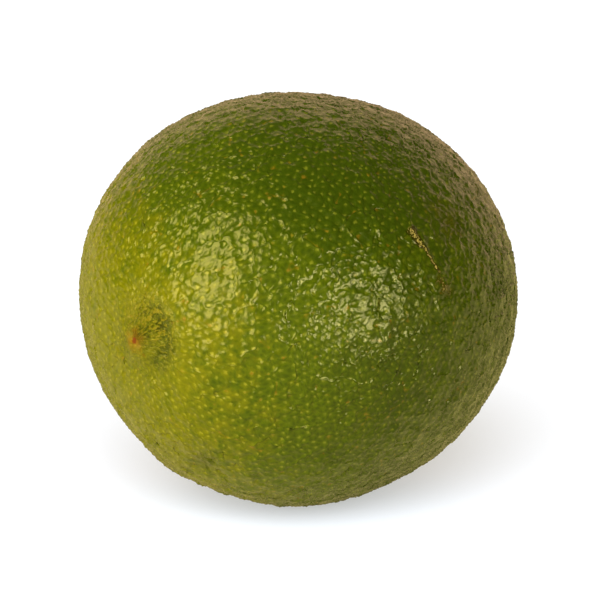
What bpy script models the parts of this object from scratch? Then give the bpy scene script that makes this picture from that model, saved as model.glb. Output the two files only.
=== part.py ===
"""A whole lime lying on its side, with the stem button still on it.

The fruit's long axis lies along X: the stylar end with its nipple points to -X and the stem end to +X.
It rests on a small flat spot whose centre is the origin. Sizes are in metres, +Z up.

The skin is one function of direction: how far it lies from the middle of the fruit. It is a sum of the
plain body, broad swellings, a gentle unevenness and the forms of the two ends.
"""

import math

import bmesh
import bpy
import numpy as np

MM = 0.001

# The body: a slightly squared ellipsoid.
HALF_LENGTH = 29.4 * MM
RADIUS = 26.9 * MM
SQUARENESS = 2.04

# The flat spot that the fruit rests on.
FLAT_RADIUS = 6.0 * MM
FLAT_DEPTH = FLAT_RADIUS**2 / (2 * RADIUS)
AXIS_HEIGHT = RADIUS - FLAT_DEPTH

# Broad swellings and hollows: (direction from the middle, height, width in radians).
SWELLINGS = (
    ((-0.43, 0.65, 0.62), 1.8 * MM, 0.75),
    ((0.20, -0.50, -0.84), -0.45 * MM, 0.75),
    ((-0.67, 0.48, -0.57), -0.20 * MM, 0.18),
    ((-0.57, 0.32, -0.76), 0.65 * MM, 0.14),
    ((-0.41, 0.10, -0.91), -0.80 * MM, 0.16),
    ((-0.79, -0.17, -0.59), -0.50 * MM, 0.085),
)

# Gentle unevenness of the whole peel: a sum of waves in fixed random directions.
WAVE_COUNT = 14
WAVE_HEIGHT = 0.035 * MM
WAVE_LEAST, WAVE_MOST = 5.0, 13.0
WAVE_SEED = 13

# The stylar end: a low nipple in a faint hollow, with a furrow round it that is deeper in front.
HOLLOW_DEPTH = 0.9 * MM
HOLLOW_WIDTH = 8.0 * MM
NIPPLE_HEIGHT = 1.3 * MM
NIPPLE_WIDTH = 3.0 * MM
TIP_PIT_DEPTH = 0.3 * MM
TIP_PIT_WIDTH = 0.7 * MM
FURROW_RADIUS = 5.3 * MM
FURROW_SWING = 0.5 * MM
FURROW_WIDTH = 1.5 * MM
FURROW_DEPTH = 0.75 * MM
FURROW_LEAST = 0.15
FURROW_TURN = math.radians(85)

# The stem end: a dimple in a low collar, with short grooves that run out from it.
DIMPLE_DEPTH = 1.5 * MM
DIMPLE_WIDTH = 4.4 * MM
COLLAR_HEIGHT = 0.55 * MM
COLLAR_RADIUS = 7.2 * MM
COLLAR_WIDTH = 2.4 * MM
GROOVE_COUNT = 9
GROOVE_DEPTH = 0.16 * MM

# Oil-gland pits, larger than life: every third point of a triangular lattice is one.
LATTICE_STEPS = 24
LATTICE_JITTER = 0.0075
LATTICE_SEED = 5
PIT_EVERY = 3
PIT_DEPTH = 0.20 * MM
PIT_LEAST, PIT_MOST = 0.6, 1.4
PIT_FADE_FROM, PIT_FADE_TO = 1.2 * MM, 3.6 * MM
TIP_CROWDING = 0.35
TIP_CROWDING_WIDTH = 0.35

# The stem button: a five-lobed calyx that hugs the dimple, with the cut stub of the stem.
BUTTON_GAP = 0.3 * MM
BUTTON_SIDES = 40
LOBE_COUNT = 5
LOBE_RADIUS = 3.2 * MM
LOBE_SWING = 0.24
CALYX_THICKNESS = 0.75 * MM
STUB_RADIUS = 1.15 * MM
STUB_HEIGHT = 1.3 * MM

# The underside's rows, as shares of the lobed edge, and then rows as (share of the edge, share of the
# thickness) over the calyx and (share of the radius, share of the height) up the stub.
UNDERSIDE_ROWS = (0.35, 0.7, 1.0)
CALYX_ROWS = ((1.0, 0.35), (0.82, 0.85), (0.6, 1.0))
STUB_ROWS = ((1.25, 0.0), (1.0, 0.3), (0.95, 1.0))

SHARP_ANGLE = math.radians(50)

PEEL_COLOUR = (0.155, 0.190, 0.020, 1.0)
PEEL_ROUGHNESS = 0.4
BUTTON_COLOUR = (0.230, 0.170, 0.075, 1.0)
BUTTON_ROUGHNESS = 0.8


def clear_scene():
    for obj in list(bpy.data.objects):
        bpy.data.objects.remove(obj, do_unlink=True)


def make_material(name, colour, roughness):
    material = bpy.data.materials.new(name)
    material.use_nodes = True
    shader = material.node_tree.nodes["Principled BSDF"]
    shader.inputs["Base Color"].default_value = colour
    shader.inputs["Roughness"].default_value = roughness
    shader.inputs["Metallic"].default_value = 0.0
    return material


def bell(distance, width):
    """1 at distance 0, falling smoothly to 0 over a few widths."""
    return np.exp(-((distance / width) ** 2))


def body_radius(way):
    """Distance from the middle to the plain body, for each unit direction."""
    along = np.abs(way[:, 0]) / HALF_LENGTH
    across = np.hypot(way[:, 1], way[:, 2]) / RADIUS
    return (along**SQUARENESS + across**SQUARENESS) ** (-1 / SQUARENESS)


def swelling(way):
    """Height of the broad swellings and hollows."""
    total = np.zeros(len(way))
    for direction, height, width in SWELLINGS:
        centre = np.array(direction) / np.linalg.norm(direction)
        angle = np.arccos(np.clip(way @ centre, -1, 1))
        total += height * bell(angle, width)
    return total


def unevenness(way):
    """A sum of plane waves in random directions, which is smooth all over the fruit."""
    draw = np.random.default_rng(WAVE_SEED)
    total = np.zeros(len(way))
    for _ in range(WAVE_COUNT):
        heading = draw.normal(size=3)
        heading *= draw.uniform(WAVE_LEAST, WAVE_MOST) / np.linalg.norm(heading)
        total += WAVE_HEIGHT * np.cos(way @ heading + draw.uniform(0, 2 * math.pi))
    return total


def about_the_axis(way):
    """Distance out from the long axis, and the turn about it, measured from the top towards the front."""
    out = HALF_LENGTH * np.hypot(way[:, 1], way[:, 2])
    turn = np.arctan2(-way[:, 1], way[:, 2])
    return out, turn


def stylar_end(way):
    """Height of the hollow, nipple, tip pit and furrow round the -X end."""
    out, turn = about_the_axis(way)
    front = (1 + np.cos(turn - FURROW_TURN)) / 2
    furrow_radius = FURROW_RADIUS + FURROW_SWING * (2 * front - 1)
    furrow_depth = FURROW_DEPTH * (FURROW_LEAST + (1 - FURROW_LEAST) * front)
    height = -HOLLOW_DEPTH * bell(out, HOLLOW_WIDTH)
    height += NIPPLE_HEIGHT * bell(out, NIPPLE_WIDTH)
    height -= TIP_PIT_DEPTH * bell(out, TIP_PIT_WIDTH)
    height -= furrow_depth * bell(out - furrow_radius, FURROW_WIDTH)
    return np.where(way[:, 0] < 0, height, 0.0)


def stem_end(way):
    """Height of the dimple, collar and short grooves round the +X end."""
    out, turn = about_the_axis(way)
    collar = bell(out - COLLAR_RADIUS, COLLAR_WIDTH)
    height = -DIMPLE_DEPTH * bell(out, DIMPLE_WIDTH)
    height += COLLAR_HEIGHT * collar
    height -= GROOVE_DEPTH * (1 + np.cos(GROOVE_COUNT * turn)) * collar
    return np.where(way[:, 0] > 0, height, 0.0)


def skin_radius(way):
    """Distance from the middle to the smooth skin, for each unit direction."""
    return body_radius(way) + swelling(way) + unevenness(way) + stylar_end(way) + stem_end(way)


def skin_points(way, lift=0.0):
    """Points on the skin, or lift above it, with the fruit standing on its flat spot."""
    return way * (skin_radius(way) + lift)[:, None] + np.array([0.0, 0.0, AXIS_HEIGHT])


def lattice():
    """A triangular lattice on the sphere: unit directions, triangles, and which points are glands.

    Each face of an icosahedron is cut into LATTICE_STEPS squared triangles. A point is known by how much
    of each corner it holds, so neighbouring faces find the same points along the edge that they share.
    """
    solid = bmesh.new()
    bmesh.ops.create_icosphere(solid, subdivisions=1, radius=1.0)
    solid.verts.index_update()
    corners = np.array([vert.co[:] for vert in solid.verts])
    faces = [[vert.index for vert in face.verts] for face in solid.faces]
    solid.free()
    found, ways, is_gland, triangles = {}, [], [], []
    for face in faces:
        index = {}
        for i in range(LATTICE_STEPS + 1):
            for j in range(LATTICE_STEPS + 1 - i):
                shares = (LATTICE_STEPS - i - j, i, j)
                key = frozenset(pair for pair in zip(face, shares) if pair[1])
                if key not in found:
                    found[key] = len(ways)
                    ways.append(shares @ corners[face])
                    is_gland.append((i - j) % PIT_EVERY == 0)
                index[i, j] = found[key]
        for i in range(LATTICE_STEPS):
            for j in range(LATTICE_STEPS - i):
                triangles.append((index[i, j], index[i + 1, j], index[i, j + 1]))
                if i + j < LATTICE_STEPS - 1:
                    triangles.append((index[i + 1, j], index[i + 1, j + 1], index[i, j + 1]))
    return unit(np.array(ways)), triangles, np.array(is_gland)


def unit(vectors):
    return vectors / np.linalg.norm(vectors, axis=1)[:, None]


def crowd_tip(way):
    """Draws the lattice in towards the -X end, where the real glands are smaller and closer."""
    angle = np.arccos(np.clip(-way[:, 0], -1, 1))
    moved = angle * (1 - TIP_CROWDING * bell(angle, TIP_CROWDING_WIDTH))
    across = np.maximum(np.hypot(way[:, 1], way[:, 2]), 1e-9)
    spread = np.sin(moved) / across
    return np.stack([-np.cos(moved), way[:, 1] * spread, way[:, 2] * spread], axis=1)


def build_fruit(material):
    """The whole fruit: the lattice on the skin, with its glands pressed in, cut off flat underneath."""
    way, triangles, is_gland = lattice()
    draw = np.random.default_rng(LATTICE_SEED)
    way = crowd_tip(unit(way + draw.normal(size=way.shape) * LATTICE_JITTER))
    size = draw.uniform(PIT_LEAST, PIT_MOST, len(way))
    height = skin_points(way)[:, 2]
    fade = np.clip((height - PIT_FADE_FROM) / (PIT_FADE_TO - PIT_FADE_FROM), 0, 1)
    pit = PIT_DEPTH * fade * (1 / PIT_EVERY - np.where(is_gland, size, 0.0))
    mesh = bmesh.new()
    made = [mesh.verts.new(point) for point in skin_points(way, pit)]
    for triangle in triangles:
        mesh.faces.new([made[n] for n in triangle])
    cut_flat_spot(mesh)
    return finish_object("fruit", mesh, material)


def cut_flat_spot(mesh):
    """Cuts off what lies below the surface that the fruit rests on, and closes the cut with a fan."""
    everything = mesh.verts[:] + mesh.edges[:] + mesh.faces[:]
    cut = bmesh.ops.bisect_plane(
        mesh, geom=everything, dist=1e-6, plane_co=(0, 0, 0), plane_no=(0, 0, -1), clear_outer=True
    )
    rim = [piece for piece in cut["geom_cut"] if isinstance(piece, bmesh.types.BMEdge)]
    cap = bmesh.ops.contextual_create(mesh, geom=rim)["faces"]
    bmesh.ops.poke(mesh, faces=cap)


def build_stem_button(material):
    """A lobed cap that follows the dimple a gap above it, with the stub of the stem in its middle."""
    turn = np.arange(BUTTON_SIDES) * 2 * math.pi / BUTTON_SIDES
    edge = LOBE_RADIUS * (1 + LOBE_SWING * np.cos(LOBE_COUNT * turn))
    stub = np.full(BUTTON_SIDES, STUB_RADIUS)
    rows = [(edge * share, 0.0) for share in UNDERSIDE_ROWS]
    rows += [(edge * share, CALYX_THICKNESS * rise) for share, rise in CALYX_ROWS]
    rows += [(stub * share, CALYX_THICKNESS + STUB_HEIGHT * rise) for share, rise in STUB_ROWS]
    mesh = bmesh.new()
    rings = []
    for out, lift in rows:
        angle = out / HALF_LENGTH
        way = np.stack([np.cos(angle), -np.sin(angle) * np.sin(turn), np.sin(angle) * np.cos(turn)], axis=1)
        rings.append([mesh.verts.new(point) for point in skin_points(way, BUTTON_GAP + lift)])
    for ring, next_ring in zip(rings, rings[1:]):
        for n in range(BUTTON_SIDES):
            after = (n + 1) % BUTTON_SIDES
            mesh.faces.new((ring[n], next_ring[n], next_ring[after], ring[after]))
    ends = [mesh.faces.new(rings[0]), mesh.faces.new(rings[-1][::-1])]
    bmesh.ops.poke(mesh, faces=ends)
    return finish_object("stem_button", mesh, material)


def finish_object(name, mesh, material):
    """Turns a bmesh into a smooth-shaded object with one material."""
    bmesh.ops.recalc_face_normals(mesh, faces=mesh.faces)
    data = bpy.data.meshes.new(name)
    mesh.to_mesh(data)
    mesh.free()
    data.materials.append(material)
    data.shade_smooth()
    data.set_sharp_from_angle(angle=SHARP_ANGLE)
    obj = bpy.data.objects.new(name, data)
    bpy.context.scene.collection.objects.link(obj)
    return obj


def main():
    clear_scene()
    build_fruit(make_material("peel", PEEL_COLOUR, PEEL_ROUGHNESS))
    build_stem_button(make_material("stem_button", BUTTON_COLOUR, BUTTON_ROUGHNESS))


main()
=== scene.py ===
# %% [markdown]
# A lime on a pale table
#
# A lime is a simple form with a busy skin. From a step away it is a slightly squared ball with a nipple
# at one end. From nearer, what makes it a lime and not a green ball is the peel: thousands of oil
# glands, each a small pit with a paler dot in it, and a waxy film that breaks every lamp into sparks.
#
# The lesson goes from large to small: the camera, the shape of the fruit, its glands, the marks that it
# carries, the colours, then the stem button, the table and the lamps.

# %% Load the frame
import math

import bpy
import numpy as np
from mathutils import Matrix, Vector


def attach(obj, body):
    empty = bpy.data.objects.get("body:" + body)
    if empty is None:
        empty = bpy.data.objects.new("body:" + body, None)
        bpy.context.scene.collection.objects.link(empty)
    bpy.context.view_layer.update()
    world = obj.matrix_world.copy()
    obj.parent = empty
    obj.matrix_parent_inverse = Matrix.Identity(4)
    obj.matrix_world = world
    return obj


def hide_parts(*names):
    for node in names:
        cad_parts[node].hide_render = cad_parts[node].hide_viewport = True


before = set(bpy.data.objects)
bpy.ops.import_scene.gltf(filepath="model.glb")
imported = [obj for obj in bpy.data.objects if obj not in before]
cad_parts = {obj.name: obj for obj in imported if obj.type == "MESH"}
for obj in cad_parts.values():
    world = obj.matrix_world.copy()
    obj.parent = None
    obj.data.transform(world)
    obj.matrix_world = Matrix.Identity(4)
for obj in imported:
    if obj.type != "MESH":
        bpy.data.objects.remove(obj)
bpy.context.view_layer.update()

# %% [markdown]
# The camera
#
# The camera comes first, because every later choice is judged through it. It looks down a little on
# the fruit from its left front, so that the nipple shows near the left edge. A long lens from close by
# needs a small subject, and here it has one: 380 mm away with a 173 mm lens gives the mild perspective
# of a product photograph.

# %% The camera
MM = 0.001
HALF_LENGTH = 29.4 * MM
RADIUS = 26.9 * MM
FLAT_RADIUS = 6.0 * MM
AXIS_HEIGHT = RADIUS - FLAT_RADIUS**2 / (2 * RADIUS)

VIEW_TURN = math.radians(-45.3)
VIEW_RISE = math.radians(13.5)
CAMERA_DISTANCE = 380 * MM
LENS = 173.3
AIM_ASIDE, AIM_DOWN = 0.36 * MM, -0.09 * MM


def direction(turn, rise):
    """The unit vector towards a place: its turn about Z, from -Y towards +X, and its rise."""
    level = math.cos(rise)
    return Vector((math.sin(turn) * level, -math.cos(turn) * level, math.sin(rise)))


def make_camera():
    """A camera that looks at the middle of the fruit, moved aside a hair to frame it."""
    data = bpy.data.cameras.new("camera")
    data.lens = LENS
    camera = bpy.data.objects.new("camera", data)
    bpy.context.scene.collection.objects.link(camera)
    back = direction(VIEW_TURN, VIEW_RISE)
    aside = Vector((math.cos(VIEW_TURN), math.sin(VIEW_TURN), 0))
    down = aside.cross(back)
    centre = Vector((0, 0, AXIS_HEIGHT))
    camera.location = centre + back * CAMERA_DISTANCE - aside * AIM_ASIDE + down * AIM_DOWN
    camera.rotation_euler = back.to_track_quat("Z", "Y").to_euler()
    bpy.context.scene.camera = camera
    return camera


camera = make_camera()
print("camera at", [round(value, 3) for value in camera.location])

# %% [markdown]
# The form of the fruit
#
# The skin is a function of direction: stand in the middle of the fruit, look any way, and ask how far
# off the skin is. That makes every feature a plain sum. The body is an ellipsoid a shade squarer than
# a true one. Broad swellings make it lopsided, as no fruit is a perfect solid, and a few slow waves
# keep the outline from looking turned on a lathe.

# %% The form of the fruit
SQUARENESS = 2.04
SWELLINGS = (
    ((-0.43, 0.65, 0.62), 1.8 * MM, 0.75),
    ((0.20, -0.50, -0.84), -0.45 * MM, 0.75),
    ((-0.67, 0.48, -0.57), -0.20 * MM, 0.18),
    ((-0.57, 0.32, -0.76), 0.65 * MM, 0.14),
    ((-0.41, 0.10, -0.91), -0.80 * MM, 0.16),
    ((-0.79, -0.17, -0.59), -0.50 * MM, 0.085),
)
WAVE_COUNT = 14
WAVE_HEIGHT = 0.035 * MM
WAVE_LEAST, WAVE_MOST = 5.0, 13.0
WAVE_SEED = 13


def unit(vectors):
    """Each vector divided by its length."""
    return vectors / np.linalg.norm(vectors, axis=1)[:, None]


def bell(distance, width):
    """1 at distance 0, falling smoothly to 0 over a few widths: e to the power of minus its square."""
    return np.exp(-((distance / width) ** 2))


def ramp(value, low, high):
    """0 below low, 1 above high, and an S-shaped climb between them."""
    share = np.clip((value - low) / (high - low), 0, 1)
    return share * share * (3 - 2 * share)


def angle_from(way, towards):
    """The angle between each unit direction and one given direction, in radians."""
    towards = np.array(towards) / np.linalg.norm(towards)
    return np.arccos(np.clip(way @ towards, -1, 1))


def body_radius(way):
    """A superellipsoid: the radius at which its two scaled coordinates' powers add up to 1."""
    along = np.abs(way[:, 0]) / HALF_LENGTH
    across = np.hypot(way[:, 1], way[:, 2]) / RADIUS
    return (along**SQUARENESS + across**SQUARENESS) ** (-1 / SQUARENESS)


def swelling(way):
    """The sum of the broad bells in SWELLINGS, each (direction, height, width in radians)."""
    return sum(height * bell(angle_from(way, towards), width) for towards, height, width in SWELLINGS)


def waves(way, count, height, least, most, seed):
    """A sum of plane waves, height times cos(heading . way + start), in fixed random headings."""
    draw = np.random.default_rng(seed)
    total = np.zeros(len(way))
    for _ in range(count):
        heading = draw.normal(size=3)
        heading *= draw.uniform(least, most) / np.linalg.norm(heading)
        total += height * np.cos(way @ heading + draw.uniform(0, 2 * math.pi))
    return total


def unevenness(way):
    """The slow waves that keep the outline from being a perfect curve."""
    return waves(way, WAVE_COUNT, WAVE_HEIGHT, WAVE_LEAST, WAVE_MOST, WAVE_SEED)


print("the body without its marks:", round(2 * HALF_LENGTH / MM, 1), "mm by", round(2 * RADIUS / MM, 1), "mm")

# %% [markdown]
# The two ends
#
# At the -X end is the stylar nipple, the scar of the flower's style. It is a low mound in a hollow,
# with a crescent furrow round it that is deeper on the front side. The flesh swells faster than the
# skin there, so the skin from the nipple out across the furrow is drawn into fine crumpled wrinkles.
#
# At the +X end the stem leaves a dimple in a low collar, with short grooves running out of it. Both
# ends are written in two numbers: how far out from the long axis, and how far round it.

# %% The two ends
HOLLOW_DEPTH, HOLLOW_WIDTH = 0.9 * MM, 8.0 * MM
NIPPLE_HEIGHT, NIPPLE_WIDTH = 1.3 * MM, 3.0 * MM
TIP_PIT_DEPTH, TIP_PIT_WIDTH = 0.3 * MM, 0.7 * MM
FURROW_RADIUS, FURROW_SWING, FURROW_WIDTH = 4.2 * MM, 0.9 * MM, 1.6 * MM
FURROW_DEPTH, FURROW_LEAST = 0.32 * MM, 0.15
FURROW_TURN = math.radians(95)
FURROW_WIDEST = math.radians(20)
WRINKLE_HEIGHT = 0.035 * MM
WRINKLE_FROM, WRINKLE_TO = 0.6 * MM, 8.0 * MM
WRINKLE_TURN = math.radians(45)
WRINKLE_SPREAD = 0.95
WRINKLE_LEAST = 0.2
WRINKLE_COUNTS = (11, 17, 23, 31)
WRINKLE_TWIST = 900.0

DIMPLE_DEPTH, DIMPLE_WIDTH = 1.5 * MM, 4.4 * MM
COLLAR_HEIGHT, COLLAR_RADIUS, COLLAR_WIDTH = 0.55 * MM, 7.2 * MM, 2.4 * MM
GROOVE_COUNT, GROOVE_DEPTH = 9, 0.16 * MM


def about_the_axis(way):
    """Distance out from the long axis, and the turn about it from the top towards the front."""
    out = HALF_LENGTH * np.hypot(way[:, 1], way[:, 2])
    return out, np.arctan2(-way[:, 1], way[:, 2])


def frontness(turn):
    """1 where the furrow is deepest and 0 on the far side: half of 1 + cosine, squared."""
    return ((1 + np.cos(turn - FURROW_TURN)) / 2) ** 2


def furrow_share(out, turn):
    """How far into the furrow a point is: a bell round a circle whose radius swings a little."""
    radius = FURROW_RADIUS + FURROW_SWING * np.cos(turn - FURROW_WIDEST)
    return (FURROW_LEAST + (1 - FURROW_LEAST) * frontness(turn)) * bell(out - radius, FURROW_WIDTH)


def crumpled(out, turn):
    """Where the skin is drawn into wrinkles: a ring round the nipple, stronger on one side."""
    ring = ramp(out, 0.5 * WRINKLE_FROM, 2 * WRINKLE_FROM) * (1 - ramp(out, 0.5 * WRINKLE_TO, WRINKLE_TO))
    aside = np.angle(np.exp(1j * (turn - WRINKLE_TURN)))
    return ring * (WRINKLE_LEAST + (1 - WRINKLE_LEAST) * bell(aside, WRINKLE_SPREAD))


def wrinkles(out, turn):
    """Radial ridges: cosines of whole numbers of turns, twisted a little with the distance out."""
    total = sum(np.cos(count * turn + count + WRINKLE_TWIST * out) for count in WRINKLE_COUNTS)
    return WRINKLE_HEIGHT * total / 2 * crumpled(out, turn)


def stylar_end(way):
    """Height of the hollow, nipple, tip pit, furrow and wrinkles at the -X end."""
    out, turn = about_the_axis(way)
    height = NIPPLE_HEIGHT * bell(out, NIPPLE_WIDTH) - HOLLOW_DEPTH * bell(out, HOLLOW_WIDTH)
    height -= TIP_PIT_DEPTH * bell(out, TIP_PIT_WIDTH) + FURROW_DEPTH * furrow_share(out, turn)
    return np.where(way[:, 0] < 0, height + wrinkles(out, turn), 0.0)


def stem_end(way):
    """Height of the dimple, collar and short grooves round the +X end."""
    out, turn = about_the_axis(way)
    collar = bell(out - COLLAR_RADIUS, COLLAR_WIDTH)
    grooves = GROOVE_DEPTH * (1 + np.cos(GROOVE_COUNT * turn))
    height = (COLLAR_HEIGHT - grooves) * collar - DIMPLE_DEPTH * bell(out, DIMPLE_WIDTH)
    return np.where(way[:, 0] > 0, height, 0.0)


def skin_radius(way):
    """Distance from the middle to the smooth skin, for each unit direction."""
    return body_radius(way) + swelling(way) + unevenness(way) + stylar_end(way) + stem_end(way)


def skin_points(way, lift=0.0):
    """Points on the skin, or lift above it, in the frame's own place."""
    return way * (skin_radius(way) + lift)[:, None] + np.array([0.0, 0.0, AXIS_HEIGHT])


ends = skin_points(np.array([[-1.0, 0.0, 0.0], [1.0, 0.0, 0.0]]))
print("nipple tip at", ends[0].round(4), "and dimple floor at", ends[1].round(4))

# %% [markdown]
# A lattice with a gland at every third point
#
# A globe's rows and columns crowd at the poles, and the crowding would show in the glands. Cutting the
# twenty faces of an icosahedron into small triangles spreads points evenly instead. It is done twice.
# The first cut gives one point for each gland, and each gland is then moved a little at random. The
# second cut puts three steps between neighbouring glands, so the finer points follow wherever their
# glands went, and the pattern stays even without looking printed.

# %% The lattice
GLAND_STEPS = 33
FINE_STEPS = 3
GLAND_JITTER = 0.0085
LATTICE_SEED = 5
TIP_CROWDING = 0.35
TIP_CROWDING_WIDTH = 0.35
GOLDEN = (1 + math.sqrt(5)) / 2


def icosahedron():
    """Twelve corners, (0, 1, golden) with every sign and cyclic order, and the twenty near triples."""
    signs = np.array([(0, a, b * GOLDEN) for a in (-1, 1) for b in (-1, 1)])
    corners = np.concatenate([np.roll(signs, shift, axis=1) for shift in range(3)])
    near = np.isclose(np.linalg.norm(corners[:, None] - corners[None], axis=2), 2)
    a, b, c = np.meshgrid(*[np.arange(12)] * 3, indexing="ij")
    a, b, c = (side[(a < b) & (b < c) & near[a, b] & near[b, c] & near[a, c]] for side in (a, b, c))
    outward = np.linalg.det(np.stack([corners[a], corners[b], corners[c]], axis=1)) > 0
    return unit(corners), np.stack([a, np.where(outward, b, c), np.where(outward, c, b)], axis=1)


def cut_triangles(triangles, steps):
    """Cuts each triangle into steps squared small ones.

    A new point is known by its three corners and its share of each, which are the function's two
    parameters on each face. Shares of nothing are dropped and the rest sorted, so that two faces that
    meet name the points of their common edge alike. Returns corners, shares and the small triangles.
    """
    i, j = (grid.ravel() for grid in np.meshgrid(*[np.arange(steps + 1)] * 2, indexing="ij"))
    i, j = i[i + j <= steps], j[i + j <= steps]
    number = np.full((steps + 2, steps + 2), -1)
    number[i, j] = np.arange(len(i))
    shares = np.stack([steps - i - j, i, j], axis=1)
    corner = np.repeat(triangles[:, None, :], len(i), axis=1).reshape(-1, 3)
    share = np.repeat(shares[None], len(triangles), axis=0).reshape(-1, 3)
    code = np.sort(np.where(share > 0, corner * (steps + 1) + share, 0), axis=1)
    base = int(code.max()) + 1
    key = (code[:, 0] * base + code[:, 1]) * base + code[:, 2]
    _, first, name = np.unique(key, return_index=True, return_inverse=True)
    up = np.stack([number[i, j], number[i + 1, j], number[i, j + 1]], axis=1)
    down = np.stack([number[i + 1, j], number[i + 1, j + 1], number[i, j + 1]], axis=1)
    small = np.concatenate([up[i + j < steps], down[i + j < steps - 1]])
    offset = np.arange(len(triangles))[:, None, None] * len(i)
    return corner[first], share[first], name.reshape(-1)[(small[None] + offset).reshape(-1, 3)]


def blend(values, corner, share):
    """Each new point's value as the mean of its corners' values, weighted by its shares of them."""
    weight = share / share.sum(axis=1, keepdims=True)
    return np.einsum("nk,nk...->n...", weight, values[corner])


def crowd_tip(way):
    """Draws the lattice in towards the -X end, where the glands are smaller and closer."""
    angle = np.arccos(np.clip(-way[:, 0], -1, 1))
    moved = angle * (1 - TIP_CROWDING * bell(angle, TIP_CROWDING_WIDTH))
    spread = np.sin(moved) / np.maximum(np.hypot(way[:, 1], way[:, 2]), 1e-9)
    return np.stack([-np.cos(moved), way[:, 1] * spread, way[:, 2] * spread], axis=1)


draw = np.random.default_rng(LATTICE_SEED)
corners, faces = icosahedron()
gland_corner, gland_share, gland_faces = cut_triangles(faces, GLAND_STEPS)
gland_way = unit(blend(corners, gland_corner, gland_share))
gland_way = crowd_tip(unit(gland_way + draw.normal(size=gland_way.shape) * GLAND_JITTER))
fine_corner, fine_share, fine_faces = cut_triangles(gland_faces, FINE_STEPS)
way = unit(blend(gland_way, fine_corner, fine_share))
print(len(gland_way), "glands,", len(way), "points,", len(fine_faces), "triangles")

# %% [markdown]
# Pits and ridges
#
# Each gland is a pit about two thirds of a millimetre wide. Its depth and width are drawn at random,
# because a real peel has a wide mix of them. The pit's middle is the lattice point itself, the six
# points round it form its wall, and the points between three glands are raised into the ridge that
# joins up over the whole fruit. Between the pits the skin isn't level either: quick small waves tilt it
# this way and that, and they are what scatters a lamp's reflection into separate sparks. How near each
# point is to its gland is kept as an attribute, so that the colour can put its dot exactly in the pit.

# %% Pits and ridges
PIT_DEPTH = 0.235 * MM
PIT_WALL = 0.40
RIDGE_HEIGHT = 0.15
GRAIN = 0.004 * MM
FLOOR_FADE = 1.5 * MM
RIPPLE_COUNT = 60
RIPPLE_HEIGHT = 0.0104 * MM
RIPPLE_LEAST, RIPPLE_MOST = 40.0, 130.0
RIPPLE_SEED = 21
DEPTH_EVENNESS = 6.0
DEPTH_LEAST, DEPTH_MOST = 0.25, 2.0
WIDTH_LEAST, WIDTH_MOST = 0.6, 1.4
GLOW_LEAST = 0.3
NEAR_MIDDLE, NEAR_WALL = 0.9, 0.5

gland_depth = draw.gamma(DEPTH_EVENNESS, 1 / DEPTH_EVENNESS, len(gland_way))
gland_depth = gland_depth.clip(DEPTH_LEAST, DEPTH_MOST)
gland_width = draw.uniform(WIDTH_LEAST, WIDTH_MOST, len(gland_way))
gland_glow = draw.uniform(GLOW_LEAST, 1.0, len(gland_way))
gland_ember = draw.uniform(0.0, 1.0, len(gland_way))

nearness = fine_share.max(axis=1) / FINE_STEPS
owner = np.take_along_axis(fine_corner, fine_share.argmax(axis=1)[:, None], axis=1)[:, 0]
is_middle = nearness > NEAR_MIDDLE
is_wall = (nearness > NEAR_WALL) & ~is_middle
shape = np.where(is_middle, 1.0, np.where(is_wall, PIT_WALL * gland_width[owner], -RIDGE_HEIGHT))
pit = shape * blend(gland_depth, fine_corner, fine_share)

ripple = waves(way, RIPPLE_COUNT, RIPPLE_HEIGHT, RIPPLE_LEAST, RIPPLE_MOST, RIPPLE_SEED)
grain = draw.normal(size=len(way)) * GRAIN
settled = ramp(skin_points(way)[:, 2], 0, FLOOR_FADE)
lift = (grain + ripple - PIT_DEPTH * pit) * settled
depths = (PIT_DEPTH * gland_depth / MM).round(3)
print("pits from", depths.min(), "to", depths.max(), "mm deep")

# %% [markdown]
# The marks of a life
#
# A twig has scratched this fruit near the top on the stem side. The wound healed into a thin corky
# thread, wide and split at its upper end and fine at the lower, and a brown scuff carries on below
# it. Each is set out with two directions and a distance from the arc between them, so it lies on the
# skin wherever it is looked at from. The mesh keeps both distances, and the colour draws the mark from
# them, which lets the thread be finer than the mesh's own triangles.

# %% The scratch
SCRATCH_TOP = (-0.163, -0.842, 0.514)
SCRATCH_END = (-0.062, -0.954, 0.294)
SCUFF_TOP = (-0.085, -0.957, 0.275)
SCUFF_END = (-0.010, -0.978, 0.205)
SCRATCH_HEIGHT, SCRATCH_WIDTH = 0.05 * MM, 0.45 * MM
SCRATCH_RISES, SCRATCH_SINKS = (-0.1, 0.1), (0.8, 1.1)
PITS_HEALED = 0.6
FAR_AWAY = 20.0


def beside_an_arc(way, start, end):
    """How far along the arc from start to end each point lies, as a share, and how far beside it.

    The distance beside is in millimetres, and on the fruit's far side it is a large number, because
    the arc's circle passes there too.
    """
    start, end = np.array(start) / np.linalg.norm(start), np.array(end) / np.linalg.norm(end)
    forward = end - start * (end @ start)
    forward /= np.linalg.norm(forward)
    side = np.cross(start, forward)
    along = np.arctan2(way @ forward, way @ start) / math.acos(start @ end)
    beside = RADIUS / MM * np.arcsin(np.clip(way @ side, -1, 1))
    return along, np.where(way @ start > 0, beside, FAR_AWAY)


scratch_along, scratch_beside = beside_an_arc(way, SCRATCH_TOP, SCRATCH_END)
scuff_along, scuff_beside = beside_an_arc(way, SCUFF_TOP, SCUFF_END)
healed = bell(scratch_beside, SCRATCH_WIDTH / MM) * ramp(scratch_along, *SCRATCH_RISES)
healed *= 1 - ramp(scratch_along, *SCRATCH_SINKS)
lift = lift * (1 - PITS_HEALED * healed) + SCRATCH_HEIGHT * healed
print("the scratch lifts", int((healed * SCRATCH_HEIGHT > GRAIN).sum()), "points by more than the grain")

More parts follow.
